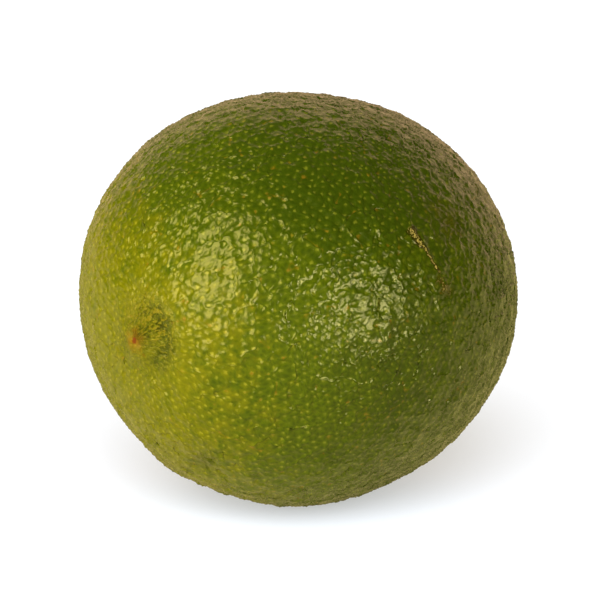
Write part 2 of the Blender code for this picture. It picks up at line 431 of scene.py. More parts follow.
# %% [markdown]
# Where the colours lie
#
# A lime ripens from the stylar end and on the side that the sun reached. So the skin runs from a
# yellow olive round the nipple to a deep green at the shoulder and stem, in soft steps and not as an
# even fade. Towards the top it is also held back from ripening and darkened with painted shade. Each
# zone is worked out here as a number between 0 and 1 on every point, and the material later turns the
# numbers into colour. The furrow keeps its dark green, partly its own and partly painted shade, the
# small dent low on the nipple side is painted shade in the same green, and the old style's scar is a
# red-brown spot with an orange halo. A faint russet patch lies beside the scratch, and a ring of paler
# green lies round the stem.

# %% The colour zones
RIPE_TOWARDS = (-0.70, 0.71, -0.08)
RIPE_WITHIN, GREEN_BEYOND = 0.75, 2.10
SHADE_TOWARDS = (-0.27, -0.10, 0.95)
SHADE_WITHIN, SHADE_BEYOND = 0.45, 1.15
SHADE_HOLDS_BACK = 0.6
RUSSET_TOWARDS, RUSSET_SPREAD = (0.10, -0.85, 0.52), 0.20
DENT_SPREAD = 0.075
TIP_WIDTH, HALO_WIDTH = 0.55 * MM, 2.4 * MM
STEM_RING_RADIUS, STEM_RING_WIDTH = 3.6 * MM, 1.8 * MM

out, turn = about_the_axis(way)
on_nipple_side = way[:, 0] < 0

# The shade zone holds back ripening towards the top and, in the material, darkens the top with painted shade.
shade = 1 - ramp(angle_from(way, SHADE_TOWARDS), SHADE_WITHIN, SHADE_BEYOND)
ripe = 1 - ramp(angle_from(way, RIPE_TOWARDS), RIPE_WITHIN, GREEN_BEYOND) - SHADE_HOLDS_BACK * shade
furrow = furrow_share(out, turn) * on_nipple_side
tip = bell(out, TIP_WIDTH) * on_nipple_side
halo = bell(out, HALO_WIDTH) * on_nipple_side
dent = bell(angle_from(way, SWELLINGS[-1][0]), DENT_SPREAD)
stem_ring = bell(out - STEM_RING_RADIUS, STEM_RING_WIDTH) * (way[:, 0] > 0)
russet = bell(angle_from(way, RUSSET_TOWARDS), RUSSET_SPREAD)
print("ripe from", ripe.min().round(2), "to", ripe.max().round(2))

# %% [markdown]
# Making the fruit
#
# All points are placed at once, the few that would dip below the table are laid flat on it, and the
# zones are stored as attributes of the mesh.

# %% Making the fruit
ZONES = {
    "near": nearness,
    "glow": blend(gland_glow, fine_corner, fine_share),
    "ember": blend(gland_ember, fine_corner, fine_share),
    "ripe": ripe,
    "shade": shade,
    "furrow": furrow,
    "tip": tip,
    "halo": halo,
    "dent": dent,
    "stem_ring": stem_ring,
    "round_x": way[:, 1] / np.maximum(out / HALF_LENGTH, 1e-6),
    "round_y": way[:, 2] / np.maximum(out / HALF_LENGTH, 1e-6),
    "out": out / MM,
    "crumpled": crumpled(out, turn) * on_nipple_side,
    "scratch_along": scratch_along,
    "scratch_beside": scratch_beside,
    "scuff_along": scuff_along,
    "scuff_beside": scuff_beside,
    "russet": russet,
}


def make_mesh(name, points, polygons, zones=None):
    """A smooth mesh object at the origin from whole arrays, with each zone as a point attribute."""
    data = bpy.data.meshes.new(name)
    data.from_pydata(points, [], polygons)
    data.shade_smooth()
    for zone, values in (zones or {}).items():
        attribute = data.attributes.new(zone, "FLOAT", "POINT")
        attribute.data.foreach_set("value", np.asarray(values, np.float32))
    data.update()
    piece = bpy.data.objects.new(name, data)
    bpy.context.scene.collection.objects.link(piece)
    return piece


fruit_points = skin_points(way, lift)
fruit_points[:, 2] = np.maximum(fruit_points[:, 2], 0.0)
peel = make_mesh("peel", fruit_points, fine_faces, ZONES)
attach(peel, "root")
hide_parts("fruit")
print("peel:", len(peel.data.polygons), "faces,", (fruit_points.max(0) - fruit_points.min(0)).round(4), "m")

# %% [markdown]
# A short hand for materials
#
# A node material is a sum written with boxes and wires. A few helpers let it be written as a sum
# again: each takes numbers, colours or other nodes' outputs and gives back an output.

# %% Helpers for materials


class Paint:
    """Adds nodes to one material and joins them up."""

    def __init__(self, name):
        self.material = bpy.data.materials.new(name)
        self.material.use_nodes = True
        self.tree = self.material.node_tree
        self.shader = self.tree.nodes["Principled BSDF"]
        self.place = self.add("ShaderNodeTexCoord").outputs["Object"]

    def add(self, kind, sockets=None, **settings):
        """A node with its settings, each socket joined to an output or set to a value."""
        node = self.tree.nodes.new(kind)
        for setting, value in settings.items():
            setattr(node, setting, value)
        for socket, value in (sockets or {}).items():
            self.join(value, node.inputs[socket])
        return node

    def join(self, value, socket):
        """Wires an output to the socket, or sets the socket to a value."""
        if isinstance(value, bpy.types.NodeSocket):
            self.tree.links.new(value, socket)
        else:
            socket.default_value = value

    def zone(self, name):
        """A point attribute of the mesh."""
        return self.add("ShaderNodeAttribute", attribute_name=name).outputs["Fac"]

    def noise(self, scale, detail=2.0, roughness=0.5, place=None):
        """Soft noise between about 0.2 and 0.8, scale patches to the metre."""
        sockets = {"Vector": place or self.place, "Scale": scale, "Detail": detail, "Roughness": roughness}
        return self.add("ShaderNodeTexNoise", sockets).outputs["Fac"]

    def math(self, operation, first, second=0.0):
        return self.add("ShaderNodeMath", {0: first, 1: second}, operation=operation).outputs[0]

    def times(self, first, second):
        return self.math("MULTIPLY", first, second)

    def plus(self, first, second):
        return self.math("ADD", first, second)

    def stir(self, value, noise, amount):
        """The value with a noise added that swings about nothing, so its edge wanders."""
        return self.plus(value, self.times(self.plus(noise, -0.5), amount))

    def between(self, value, low, high, start=0.0, end=1.0):
        """start where value is below low, end where it is above high, and smooth between them."""
        sockets = {"Value": value, "From Min": low, "From Max": high, "To Min": start, "To Max": end}
        return self.add("ShaderNodeMapRange", sockets, interpolation_type="SMOOTHSTEP").outputs[0]

    def mix(self, share, first, second):
        """The colour first where share is 0 and second where it is 1."""
        node = self.add("ShaderNodeMix", data_type="RGBA")
        self.join(share, node.inputs[0])
        self.join(first, node.inputs[6])
        self.join(second, node.inputs[7])
        return node.outputs[2]

    def vector(self, x, y, z=0.0):
        return self.add("ShaderNodeCombineXYZ", {"X": x, "Y": y, "Z": z}).outputs[0]

    def bump(self, height, distance, strength=1.0, normal=None):
        """A surface direction tilted as if the height stood distance metres out."""
        sockets = {"Height": height, "Distance": distance, "Strength": strength}
        if normal:
            sockets["Normal"] = normal
        return self.add("ShaderNodeBump", sockets).outputs[0]

    def finish(self, colour, roughness, normal=None, **sockets):
        """Joins the pattern to the shader. The other sockets hold one value each, all over the piece."""
        self.join(colour, self.shader.inputs["Base Color"])
        self.join(roughness, self.shader.inputs["Roughness"])
        if normal:
            self.join(normal, self.shader.inputs["Normal"])
        for socket, value in sockets.items():
            self.shader.inputs[socket.replace("_", " ")].default_value = value
        return self.material


def pigment(red, green, blue):
    """A colour given as it looks on screen, from 0 to 255, turned into the light that it sends back."""
    levels = np.array([red, green, blue]) / 255
    light = np.where(levels <= 0.04045, levels / 12.92, ((levels + 0.055) / 1.055) ** 2.4)
    return (*light.tolist(), 1.0)


print("helpers ready")

# %% [markdown]
# The peel's pigment and gloss
#
# The colour is built up as a printer would, in layers: the ripe and unripe greens with soft blotches
# where they meet and painted shade towards the top, the pale dots over the glands, the furrow's green
# and painted shade, the dent's painted shade and the crumpled skin's painted highlights and shade round
# the nipple, then the orange and brown of the scars. Each dot takes a paler tone of the green round it,
# and a few have turned orange. The gloss is a satin wax. Its sparks come from the pits and ripples in the
# mesh, and fine bumps break up what is left between them: one small dome on every gland, where the oil
# swells it, and a crumple in two sizes everywhere.
#
# In the code, a STIR says how strongly a noise moves a zone's edge. A FADE says where a layer starts and
# ends and, where they aren't 0 and 1, the two values that it runs between. A noise is its scale in
# patches to the metre, its detail and its roughness.

# %% The peel's greens
DEEP_GREEN = pigment(67, 90, 19)
LEAF_GREEN = pigment(90, 112, 18)
OLIVE = pigment(136, 141, 22)
SHADOW_GREEN = pigment(54, 78, 16)
BLOTCH_STIR, MOTTLE_STIR = 0.9, 1.1
LEAF_FADE, OLIVE_FADE = (-0.25, 0.30), (0.38, 1.15)
SHADE_STIR, PAINTED_SHADE_FADE = 0.5, (0.1, 1.0, 0.0, 0.3)
STEM_RING_SHARE = 0.4


def peel_greens(p, blotch, mottle):
    """The ripe and unripe greens, how ripe each place is, and painted shade that darkens the top."""
    ripe = p.stir(p.stir(p.zone("ripe"), blotch, BLOTCH_STIR), mottle, MOTTLE_STIR)
    colour = p.mix(p.between(ripe, *LEAF_FADE), DEEP_GREEN, LEAF_GREEN)
    colour = p.mix(p.between(ripe, *OLIVE_FADE), colour, OLIVE)
    shade = p.stir(p.zone("shade"), mottle, SHADE_STIR)
    # painted shade: darker towards the top, mixed towards SHADOW_GREEN
    colour = p.mix(p.between(shade, *PAINTED_SHADE_FADE), colour, SHADOW_GREEN)
    return p.mix(p.times(p.zone("stem_ring"), STEM_RING_SHARE), colour, LEAF_GREEN), ripe


print("the ripest green sends back", [round(share, 3) for share in OLIVE[:3]], "of red, green and blue")

# %% [markdown]
# The dots over the glands
#
# A drop of oil lies under each pit and shows through the skin as a paler dot, and the skin between the
# glands is darker. Both follow the nearness that the mesh carries, so a dot can't miss its pit. How
# strong a dot is differs from gland to gland.

# %% The dots over the glands
GLAND_GREEN = pigment(150, 162, 68)
GLAND_OLIVE = pigment(176, 178, 64)
EMBER = pigment(150, 104, 30)
GAP_STIR, GAP_FADE, GAP_SHARE_FADE = 0.4, (0.38, 0.66, 1.0, 0.0), (0.2, 0.9, 0.55, 0.20)
SPOT_STIR, SPOT_FADE, SPOT_SHARE_FADE = 0.25, (0.70, 0.95), (-0.1, 0.4, 0.60, 0.80)
GLOW_STIR, GLOW_FADE = 1.6, (0.1, 0.9)
PALE_FADE = (0.3, 0.9)
EMBER_STIR, EMBER_FADE, EMBER_SPOT_FADE = 0.5, (0.82, 1.02, 0.0, 0.6), (0.45, 0.95)


def gland_dots(p, colour, ripe, mottle, speck):
    """Darker skin between the glands, a pale dot over each, and a few orange ones."""
    gap = p.between(p.stir(p.zone("near"), speck, GAP_STIR), *GAP_FADE)
    colour = p.mix(p.times(gap, p.between(ripe, *GAP_SHARE_FADE)), colour, SHADOW_GREEN)
    spot = p.between(p.stir(p.zone("near"), speck, SPOT_STIR), *SPOT_FADE)
    spot = p.times(spot, p.between(p.stir(p.zone("glow"), mottle, GLOW_STIR), *GLOW_FADE))
    pale = p.mix(p.between(ripe, *PALE_FADE), GLAND_GREEN, GLAND_OLIVE)
    colour = p.mix(p.times(spot, p.between(ripe, *SPOT_SHARE_FADE)), colour, pale)
    ember = p.between(p.stir(p.zone("ember"), mottle, EMBER_STIR), *EMBER_FADE)
    return p.mix(p.times(p.between(p.zone("near"), *EMBER_SPOT_FADE), ember), colour, EMBER)


print(int((gland_ember > EMBER_FADE[0]).sum()), "glands start to turn orange")

# %% [markdown]
# The marks round the nipple
#
# The drawn skin's fine wrinkles are painted as light and dark strokes: painted highlights on their ridges
# and painted shade in their creases. The strokes are a noise that reads the turn about the axis and the
# distance out from it, so near the nipple they run outwards like spokes. The furrow is a dark green, partly
# its own pigment and partly painted shade, the dent is painted shade in the same green, and the scar is
# brown within its orange halo.

# %% The marks round the nipple
# The furrow's green is partly pigment and partly painted shade, and the dent takes it as painted shade; the
# crumple's pale and dark are a painted highlight and painted shade.
FURROW_AND_SHADE_GREEN = pigment(60, 80, 14)
HALO_ORANGE = pigment(172, 124, 26)
CRUMPLE_PAINTED_HIGHLIGHT = pigment(172, 162, 44)
CRUMPLE_PAINTED_SHADE = pigment(62, 60, 16)
TIP_BROWN = pigment(132, 52, 30)
FURROW_STIR, FURROW_FADE = 2.4, (0.20, 1.30, 0.0, 0.85)
HIGHLIGHT_STROKE_FADE, SHADE_STROKE_FADE = (0.51, 0.59, 0.0, 0.9), (0.39, 0.47, 0.6, 0.0)
DENT_SHADE_SHARE = 0.6
HALO_STIR, HALO_FADE = 1.0, (0.40, 1.20, 0.0, 0.75)
TIP_STIR, TIP_FADE = 0.7, (0.35, 0.75, 0.0, 0.9)


def stylar_marks(p, colour, stroke, mottle, speck):
    """The furrow, the crumpled skin's painted highlights and shade, the dent's shade, the halo and the scar.

    The furrow's dark green is partly pigment and partly painted shade, and the dent's is painted shade.
    """
    crumpled = p.zone("crumpled")
    dark = p.stir(p.zone("furrow"), mottle, FURROW_STIR)
    # partly pigment, partly painted shade: the furrow darkens towards a dark green
    colour = p.mix(p.between(dark, *FURROW_FADE), colour, FURROW_AND_SHADE_GREEN)
    # painted highlights and painted shade: pale and dark strokes on the crumpled skin stand for its fine
    # wrinkles
    colour = p.mix(p.times(p.between(stroke, *HIGHLIGHT_STROKE_FADE), crumpled), colour, CRUMPLE_PAINTED_HIGHLIGHT)
    colour = p.mix(p.times(p.between(stroke, *SHADE_STROKE_FADE), crumpled), colour, CRUMPLE_PAINTED_SHADE)
    # painted shade: the dent darkens towards the furrow's dark green
    colour = p.mix(p.times(p.zone("dent"), DENT_SHADE_SHARE), colour, FURROW_AND_SHADE_GREEN)
    halo = p.stir(p.zone("halo"), mottle, HALO_STIR)
    colour = p.mix(p.between(halo, *HALO_FADE), colour, HALO_ORANGE)
    tip = p.stir(p.zone("tip"), speck, TIP_STIR)
    return p.mix(p.between(tip, *TIP_FADE), colour, TIP_BROWN)


print("the crumpled skin covers", round(float(ZONES["crumpled"].mean()), 4), "of the points")

# %% [markdown]
# The scratch, the scuff and the russet
#
# The healed thread is cork: pale, broken strands on a dark bed that shows at their edges. It is drawn
# from the two distances that the mesh keeps, so its width can taper and its middle can sway. Below it
# the scuff is a brown smear with a few pale flecks, and the russet is a faint brown cloud.

# %% The scratch, the scuff and the russet
CORK = pigment(226, 210, 164)
CORK_EDGE = pigment(46, 38, 14)
SCUFF_BROWN = pigment(98, 76, 42)
RUSSET = pigment(92, 80, 36)
SWAY, SWAY_STIR = (5.0, 3.0, 0.6), 1.3
THREAD_START_FADE, THREAD_END_FADE = (-0.02, 0.04), (0.92, 1.0, 1.0, 0.0)
THREAD_WIDTH_FADE = (0.15, 0.55, 0.48, 0.17)
STRAND, STRAND_ALONG, STRAND_BESIDE = (1.0, 3.0, 0.7), 26.0, 9.0
EDGE_STIR, EDGE_FADE, EDGE_SHARE = 1.6, (1.1, 2.1, 1.0, 0.0), 0.85
CORK_STIR, CORK_FADE = 5.5, (-0.9, -0.4)
BROKEN, BROKEN_FADE = (3800, 2.0, 0.6), (0.46, 0.54, 0.0, 0.95)
SCUFF_START_FADE, SCUFF_END_FADE = (-0.15, 0.1), (0.6, 1.3, 1.0, 0.0)
SCUFF_STIR, SCUFF_FADE, SCUFF_SHARE = 3.6, (0.1, 1.0, 1.0, 0.0), 0.6
FLECKS, FLECKS_FADE, FLECKS_SHARE = (5200, 1.0), (0.60, 0.68), 0.7
RUSSET_STIR, RUSSET_FADE = 1.3, (0.5, 1.2, 0.0, 0.4)


def scratch_marks(p, colour, mottle, speck):
    """The scratch's pale strands between dark edges, the scuff and the russet. Gives the cork too.

    The thread's middle wanders with the distance along it. Strands are a noise stretched along the
    thread, and both fade out where the distance beside it passes the width.
    """
    along, beside = p.zone("scratch_along"), p.zone("scratch_beside")
    sway = p.noise(*SWAY, place=p.vector(along, 0.0))
    beside = p.stir(beside, sway, SWAY_STIR)
    inside = p.times(p.between(along, *THREAD_START_FADE), p.between(along, *THREAD_END_FADE))
    width = p.between(along, *THREAD_WIDTH_FADE)
    reach = p.math("DIVIDE", p.math("ABSOLUTE", beside), width)
    stretched = p.vector(p.times(along, STRAND_ALONG), p.times(beside, STRAND_BESIDE))
    strand = p.noise(*STRAND, place=stretched)
    edge = p.between(p.stir(reach, strand, EDGE_STIR), *EDGE_FADE)
    colour = p.mix(p.times(p.times(edge, inside), EDGE_SHARE), colour, CORK_EDGE)
    cork = p.between(p.stir(p.times(reach, -1.0), strand, CORK_STIR), *CORK_FADE)
    broken = p.between(p.noise(*BROKEN), *BROKEN_FADE)
    cork = p.times(p.times(cork, inside), broken)
    colour = p.mix(cork, colour, CORK)

    along, beside = p.zone("scuff_along"), p.math("ABSOLUTE", p.zone("scuff_beside"))
    inside = p.times(p.between(along, *SCUFF_START_FADE), p.between(along, *SCUFF_END_FADE))
    scuff = p.times(p.between(p.stir(beside, speck, SCUFF_STIR), *SCUFF_FADE), inside)
    colour = p.mix(p.times(scuff, SCUFF_SHARE), colour, SCUFF_BROWN)
    flecks = p.times(p.between(p.noise(*FLECKS), *FLECKS_FADE), p.times(scuff, FLECKS_SHARE))
    colour = p.mix(flecks, colour, CORK)
    rust = p.stir(p.zone("russet"), mottle, RUSSET_STIR)
    return p.mix(p.between(rust, *RUSSET_FADE), colour, RUSSET), cork


print("the cork sends back", [round(share, 3) for share in CORK[:3]], "of red, green and blue")

# %% [markdown]
# The layers and the wax
#
# The layers go over each other in the order in which they were made. The wax is nearly even and only the
# cork is duller. Four reliefs are laid over one another: the strokes, which stand in for wrinkles finer
# than the mesh, the domes over the glands, and the two sizes of crumple.

# %% The layers and the wax
BLOTCH, MOTTLE, SPECK = (300, 3.0, 0.6), (850, 3.0, 0.6), (2200, 2.0, 0.6)
SPOKES, STROKE = 5.0, (1.8, 3.0, 0.6)
SATIN, SATIN_FADE = (900, 2.0), (0.3, 0.7, 0.14, 0.20)
CORK_DULLS = 0.3
STROKE_RELIEF = 0.0009
DOME_FADE, DOME_RELIEF = (0.6, 1.0), 0.00004
CRUMPLE, CRUMPLE_RELIEF = (1300, 2.0, 0.5), 0.00005
FINE_CRUMPLE, FINE_CRUMPLE_RELIEF = (3400, 2.0, 0.6), 0.00003
WAX_IOR = 1.60


def paint_peel():
    """The peel's material: its layers of colour, then its gloss and reliefs."""
    p = Paint("peel")
    blotch = p.noise(*BLOTCH)
    mottle = p.noise(*MOTTLE)
    speck = p.noise(*SPECK)
    round_x, round_y = p.times(p.zone("round_x"), SPOKES), p.times(p.zone("round_y"), SPOKES)
    stroke = p.noise(*STROKE, place=p.vector(round_x, round_y, p.zone("out")))
    colour, ripe = peel_greens(p, blotch, mottle)
    colour = gland_dots(p, colour, ripe, mottle, speck)
    colour = stylar_marks(p, colour, stroke, mottle, speck)
    colour, cork = scratch_marks(p, colour, mottle, speck)

    roughness = p.between(p.noise(*SATIN), *SATIN_FADE)
    roughness = p.plus(roughness, p.times(cork, CORK_DULLS))
    normal = p.bump(p.times(stroke, p.zone("crumpled")), STROKE_RELIEF)
    dome = p.times(p.between(p.zone("near"), *DOME_FADE), p.zone("glow"))
    normal = p.bump(dome, DOME_RELIEF, normal=normal)
    normal = p.bump(p.noise(*CRUMPLE), CRUMPLE_RELIEF, normal=normal)
    normal = p.bump(p.noise(*FINE_CRUMPLE), FINE_CRUMPLE_RELIEF, normal=normal)
    return p.finish(colour, roughness, normal, IOR=WAX_IOR)


peel.data.materials.append(paint_peel())
print("peel painted with", len(peel.data.materials[0].node_tree.nodes), "nodes")

# %% [markdown]
# The stem button
#
# At the hidden end sits the button: the dried calyx, a star of five blunt lobes pressed to the dimple,
# with the stub of the stem in its middle, cut through when the fruit was picked. It is one profile
# carried round the axis. The profile's distances are shares of a lobed edge, so the star shape fades
# out towards the round stub.

# %% The stem button
BUTTON_SIDES = 120
BUTTON_GAP = 0.15 * MM
UNDERSIDE = -0.12 * MM
LOBE_COUNT, LOBE_RADIUS, LOBE_SWING = 5, 3.2 * MM, 0.24
RAGGED_SWING, RAGGED_LEAST, RAGGED_SHIFT = 0.02, 0.3, 6
RAGGED_COUNTS = (3, 7, 11, 16)
CALYX_THICKNESS, CALYX_REACH, CALYX_ROUNDING = 0.75 * MM, 0.45, 0.7
STUB_RADIUS, STUB_HEIGHT, STUB_FOOT, STUB_TAPER = 1.15 * MM, 1.3 * MM, 0.25, 0.05
RIB_HEIGHT = 0.05 * MM
RIB_COUNTS = (35, 21)
BUTTON_SEED = 8
PROFILE_STEPS = 12


def button_rings():
    """Distance out and height of every ring: the underside, the lobes, the stub's foot, wall and top.

    A ring's distance from the axis mixes the lobed edge with the round stub, and its height is measured
    from the dimple's skin. Fine ribs run along the lobes and down the stub.
    """
    turn = np.linspace(0, 2 * math.pi, BUTTON_SIDES, endpoint=False)
    draw = np.random.default_rng(BUTTON_SEED)
    ragged = sum(
        draw.uniform(RAGGED_LEAST, 1.0) * np.cos(n * turn + draw.uniform(0, RAGGED_SHIFT))
        for n in RAGGED_COUNTS
    )
    edge = LOBE_RADIUS * (1 + LOBE_SWING * np.cos(LOBE_COUNT * turn) + RAGGED_SWING * ragged)
    ribs = RIB_HEIGHT * sum(np.cos(n * turn + n) for n in RIB_COUNTS) / 2

    share = np.linspace(0, 1, PROFILE_STEPS)[1:, None]
    swell = np.sin(math.pi / 2 * share)
    under = share * edge
    over = edge * (1 - CALYX_REACH * share)
    foot = over[-1] + (STUB_RADIUS - over[-1]) * swell
    wall = STUB_RADIUS * (1 - STUB_TAPER * share) + ribs / 2
    cut = (STUB_RADIUS * (1 - STUB_TAPER) + ribs / 2) * (1 - share[:-1])
    foot_top = CALYX_THICKNESS + STUB_FOOT * STUB_HEIGHT
    top = CALYX_THICKNESS + STUB_HEIGHT
    heights = [
        np.full_like(under, UNDERSIDE),
        CALYX_THICKNESS * swell**CALYX_ROUNDING + ribs * share,
        CALYX_THICKNESS + STUB_FOOT * STUB_HEIGHT * share**3 + ribs * (1 - share),
        np.broadcast_to(foot_top + (top - foot_top) * share, wall.shape),
        np.full_like(cut, top),
    ]
    return turn, np.concatenate([under, over, foot, wall, cut]), np.concatenate(heights), len(cut)


def make_stem_button():
    """The rings laid on the dimple, joined ring to ring, with a fan of triangles at either end."""
    turn, out, height, cut_rings = button_rings()
    rings = len(out)
    angle = out.ravel() / HALF_LENGTH
    around = np.tile(turn, rings)
    ways = np.stack([np.cos(angle), -np.sin(angle) * np.sin(around), np.sin(angle) * np.cos(around)], axis=1)
    points = skin_points(ways, BUTTON_GAP + height.ravel())

    ring, side = np.meshgrid(np.arange(rings - 1), np.arange(BUTTON_SIDES), indexing="ij")
    here = ring * BUTTON_SIDES + side
    after = ring * BUTTON_SIDES + (side + 1) % BUTTON_SIDES
    quads = np.stack([here, after, after + BUTTON_SIDES, here + BUTTON_SIDES], axis=2).reshape(-1, 4)
    middles = [points[:BUTTON_SIDES].mean(0), points[-BUTTON_SIDES:].mean(0)]
    n = np.arange(BUTTON_SIDES)
    after = (n + 1) % BUTTON_SIDES
    last = len(points) - BUTTON_SIDES
    start = np.stack([np.full_like(n, len(points)), after, n], axis=1)
    end = np.stack([np.full_like(n, len(points) + 1), last + n, last + after], axis=1)
    on_cut = np.repeat(np.arange(rings) >= rings - cut_rings - 1, BUTTON_SIDES)
    zones = {
        "woody": np.concatenate([np.clip(out.ravel() / LOBE_RADIUS, 0, 1), [0, 0]]),
        "cut_face": np.concatenate([on_cut, [0, 1]]),
    }
    polygons = quads.tolist() + start.tolist() + end.tolist()
    return make_mesh("stem_button", np.concatenate([points, middles]), polygons, zones)


button = make_stem_button()
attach(button, "root")
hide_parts("stem_button")
print("button:", len(button.data.polygons), "faces")

# %% [markdown]
# The button's finish
#
# The calyx was green on the tree and dries to brown from its edges inwards, in patches, with darker
# fibres. The cut stub shows pale wood.

# %% The button's finish
BUTTON_GREEN = pigment(112, 110, 52)
BUTTON_BROWN = pigment(128, 98, 56)
BUTTON_DARK = pigment(70, 52, 30)
STUB_PALE = pigment(190, 172, 120)
FIBRE, FIBRE_FADE, FIBRE_RELIEF = (1600, 4.0, 0.65), (0.55, 0.75, 0.0, 0.6), 0.00012
PATCH, PATCH_FADE = (500, 2.0), (0.4, 0.6)
RIM_STIR, RIM_FADE = 0.5, (0.95, 1.45)
CUT_FADE = (0.3, 0.7, 0.0, 0.85)
BUTTON_ROUGHNESS = 0.72


def paint_button():
    """The button's material: green to brown in patches, dark at the rim, pale on the cut."""
    p = Paint("stem_button")
    fibre = p.noise(*FIBRE)
    patch = p.noise(*PATCH)
    colour = p.mix(p.between(patch, *PATCH_FADE), BUTTON_GREEN, BUTTON_BROWN)
    rim = p.plus(p.zone("woody"), p.times(fibre, RIM_STIR))
    colour = p.mix(p.between(rim, *RIM_FADE), colour, BUTTON_DARK)
    colour = p.mix(p.between(fibre, *FIBRE_FADE), colour, BUTTON_DARK)
    colour = p.mix(p.between(p.zone("cut_face"), *CUT_FADE), colour, STUB_PALE)
    return p.finish(colour, BUTTON_ROUGHNESS, p.bump(fibre, FIBRE_RELIEF))


button.data.materials.append(paint_button())
print("button painted with", len(button.data.materials[0].node_tree.nodes), "nodes")

# %% [markdown]
# The table
#
# The table is a large pale disc. It is so evenly lit that it photographs as plain white, and all that
# is left to see of it is the soft shadow under the fruit. What it sends up to the fruit is another
# matter: the underside of a lime on a warm-lit table takes a dull tan light. So the disc glows a little
# to the camera. To everything else it is tan, with a painted pool of light, a warm glow of the table
# itself, under the fruit and round it. To glossy rays alone the table under the fruit and behind it
# also glows warm, a painted reflection that the wax shows along the fruit's lower rim.

# %% The table
FLOOR_RADIUS = 2.2
FLOOR_SIDES = 96
FLOOR_PALE = (0.50, 0.50, 0.53, 1.0)
FLOOR_GLOW_TINT = (0.98, 0.99, 1.0, 1.0)
FLOOR_GLOW = 0.47
FLOOR_TAN = (0.30, 0.25, 0.06, 1.0)
POOL_TAN = (1.0, 0.78, 0.34, 1.0)
POOL_GLOW = 0.09
POOL_FROM, POOL_TO = 0.015, 0.06
BEHIND_GLOW = 0.42
BEHIND_FROM, BEHIND_TO = -0.028, -0.010


def paint_floor():
    """Pale and glowing to the camera, tan to other rays, with a painted pool of light glowing near the fruit.

    The table under the fruit and behind it also glows warm to glossy rays alone, a painted reflection
    that shows along the fruit's lower rim. How far behind is the distance along a line that runs level,
    away from the camera's side.
    """
    p = Paint("floor")
    p.finish(FLOOR_PALE, 1.0, Emission_Color=FLOOR_GLOW_TINT, Emission_Strength=FLOOR_GLOW)
    path = p.add("ShaderNodeLightPath")
    far = p.add("ShaderNodeVectorMath", {0: p.place}, operation="LENGTH").outputs["Value"]
    away = {0: p.place, 1: -direction(VIEW_TURN, 0.0)}
    behind = p.add("ShaderNodeVectorMath", away, operation="DOT_PRODUCT").outputs["Value"]
    # painted reflection: behind the fruit the table glows warm to glossy rays alone, seen along the fruit's
    # lower rim
    behind = p.between(behind, BEHIND_FROM, BEHIND_TO, 0.0, BEHIND_GLOW)
    # painted pool of light: near the fruit the table glows warm to every ray but the camera's
    glow = p.between(far, POOL_FROM, POOL_TO, POOL_GLOW, 0.0)
    glow = p.plus(glow, p.times(behind, path.outputs["Is Glossy Ray"]))
    pool = p.add("ShaderNodeEmission", {"Color": POOL_TAN, "Strength": glow})
    tan = p.add("ShaderNodeBsdfDiffuse", {"Color": FLOOR_TAN})
    bounce = p.add("ShaderNodeAddShader", {0: tan.outputs[0], 1: pool.outputs[0]})
    seen = path.outputs["Is Camera Ray"]
    choose = p.add("ShaderNodeMixShader", {0: seen, 1: bounce.outputs[0], 2: p.shader.outputs[0]})
    p.join(choose.outputs[0], p.tree.nodes["Material Output"].inputs["Surface"])
    return p.material


def make_floor():
    """A disc: one fan of triangles about its middle."""
    n = np.arange(FLOOR_SIDES)
    turn = n * 2 * math.pi / FLOOR_SIDES
    rim = np.stack([np.cos(turn), np.sin(turn), 0 * turn], axis=1) * FLOOR_RADIUS
    fan = np.stack([np.full_like(n, FLOOR_SIDES), n, (n + 1) % FLOOR_SIDES], axis=1)
    floor = make_mesh("floor", np.concatenate([rim, [[0, 0, 0]]]), fan.tolist())
    floor.data.materials.append(paint_floor())
    return floor


floor = make_floor()
print("floor made")

# %% [markdown]
# The lamps
#
# Two windows stand in front of the fruit, a broad one to the left and one with narrow side panes to
# the right. Their mirror images, broken up by the pits, are the two clusters of sparks. What a window
# shows in the gloss and how much light it throws are set apart here. A lamp that only the gloss sees
# stands a little nearer than one that only throws light, because the second kind, though it doesn't
# show in the gloss, still blocks what hangs behind it. Two more that only throw light are wide and soft:
# one evens out the front, as a sheet of white card would, and a weaker one lifts the top and the back.
#
# A far-off patch of sky lights the table alone and makes the soft shadow, as a photographer would flag
# it off the fruit so that no white sheen lies on the top.

# %% The lamps
KEY_TOWARDS = Vector((-0.905, 0.000, 0.350))
FILL_TOWARDS = Vector((-0.230, -0.935, 0.020))
PANE_TOWARDS = Vector((0.010, -1.140, 0.090))
FAR_PANE_TOWARDS = Vector((0.200, -1.330, 0.060))
SOFT_TOWARDS = Vector((-0.80, -0.45, 0.42))
BACK_TOWARDS = Vector((0.50, 0.45, 0.74))
SKY_TOWARDS = direction(math.radians(-53), math.radians(36))
SKY_ANGLE = math.radians(60)
SKY_STRENGTH = 7.4
LAMP_DISTANCE = 1.0
SHEEN_DISTANCE = 0.9
WARM = (1.0, 0.85, 0.30)
WARM_PALE = (1.0, 0.85, 0.38)
TAN = (1.0, 0.79, 0.25)
COOL = (0.84, 0.91, 1.0)

